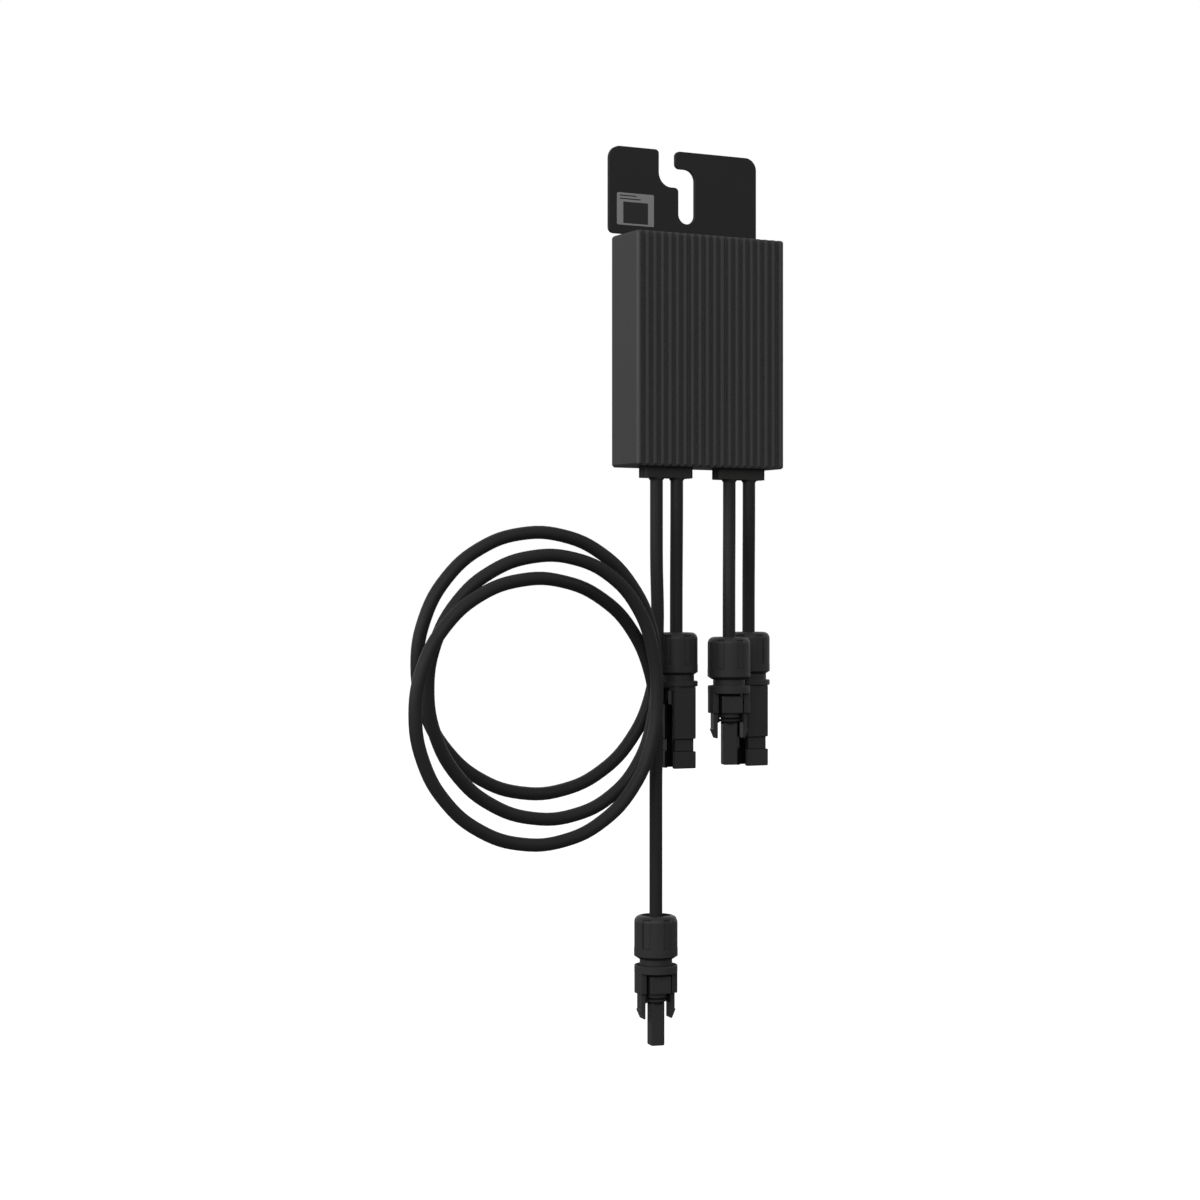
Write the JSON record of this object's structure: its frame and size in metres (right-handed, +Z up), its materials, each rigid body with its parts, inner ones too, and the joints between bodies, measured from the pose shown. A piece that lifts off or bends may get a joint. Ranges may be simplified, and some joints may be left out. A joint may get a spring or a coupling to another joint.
{
  "type": "power optimizer",
  "caption": "Black ribbed power optimizer box for a solar module, with a slotted frame bracket above and connector-ended leads below, the longest in loose loops.",
  "frame": {"origin": "middle of the bracket's flat back face, level with the centre of the bolt seat", "axes": "+X to the right seen from the ribbed front, +Y back towards the module frame, +Z up"},
  "size_m": [0.1881, 0.0465, 0.3897],
  "materials": {
    "cast_black": "satin black coating on cast metal",
    "sheet_black": "fine black powder coat on sheet metal",
    "rubber_black": "matt black rubber",
    "plastic_black": "satin black moulded plastic",
    "cable_black": "smooth black cable jacket",
    "label_grey": "matt grey film",
    "steel": "zinc-plated steel",
    "board_green": "satin green laminate",
    "pad_grey": "soft grey-blue pad",
    "chip_black": "matt black moulding",
    "ferrite": "dull sintered ferrite",
    "copper": "enamelled copper wire",
    "capacitor_can": "sleeved aluminium can",
    "tinned_brass": "tin plate on copper alloy",
    "seal_red": "soft red-brown silicone"
  },
  "bodies": {
    "root": {"housing": "cast_black", "gasket": "rubber_black", "rear_cover": "plastic_black", "cover_screws": "steel", "mounting_bracket": "sheet_black", "bracket_screws": "steel", "label": "label_grey", "left_gland": "rubber_black", "right_gland": "rubber_black", "circuit_board": "board_green", "board_screws": "steel", "thermal_pad": "pad_grey", "power_switches": "chip_black", "inductor_core": "ferrite", "inductor_winding": "copper", "input_capacitors": "capacitor_can", "output_capacitors": "capacitor_can", "control_chip": "chip_black", "cable_terminals": "tinned_brass", "long_cable": "cable_black", "left_cable": "cable_black", "middle_cable": "cable_black", "right_cable": "cable_black", "long_nut": "plastic_black", "long_clamp": "plastic_black", "long_seal": "seal_red", "long_plug": "plastic_black", "long_contact": "tinned_brass", "long_ring": "rubber_black", "left_nut": "plastic_black", "left_clamp": "plastic_black", "left_seal": "seal_red", "left_socket": "plastic_black", "left_contact": "tinned_brass", "middle_nut": "plastic_black", "middle_clamp": "plastic_black", "middle_seal": "seal_red", "middle_plug": "plastic_black", "middle_contact": "tinned_brass", "middle_ring": "rubber_black", "right_nut": "plastic_black", "right_clamp": "plastic_black", "right_seal": "seal_red", "right_socket": "plastic_black", "right_contact": "tinned_brass"}
  },
  "joints": []
}
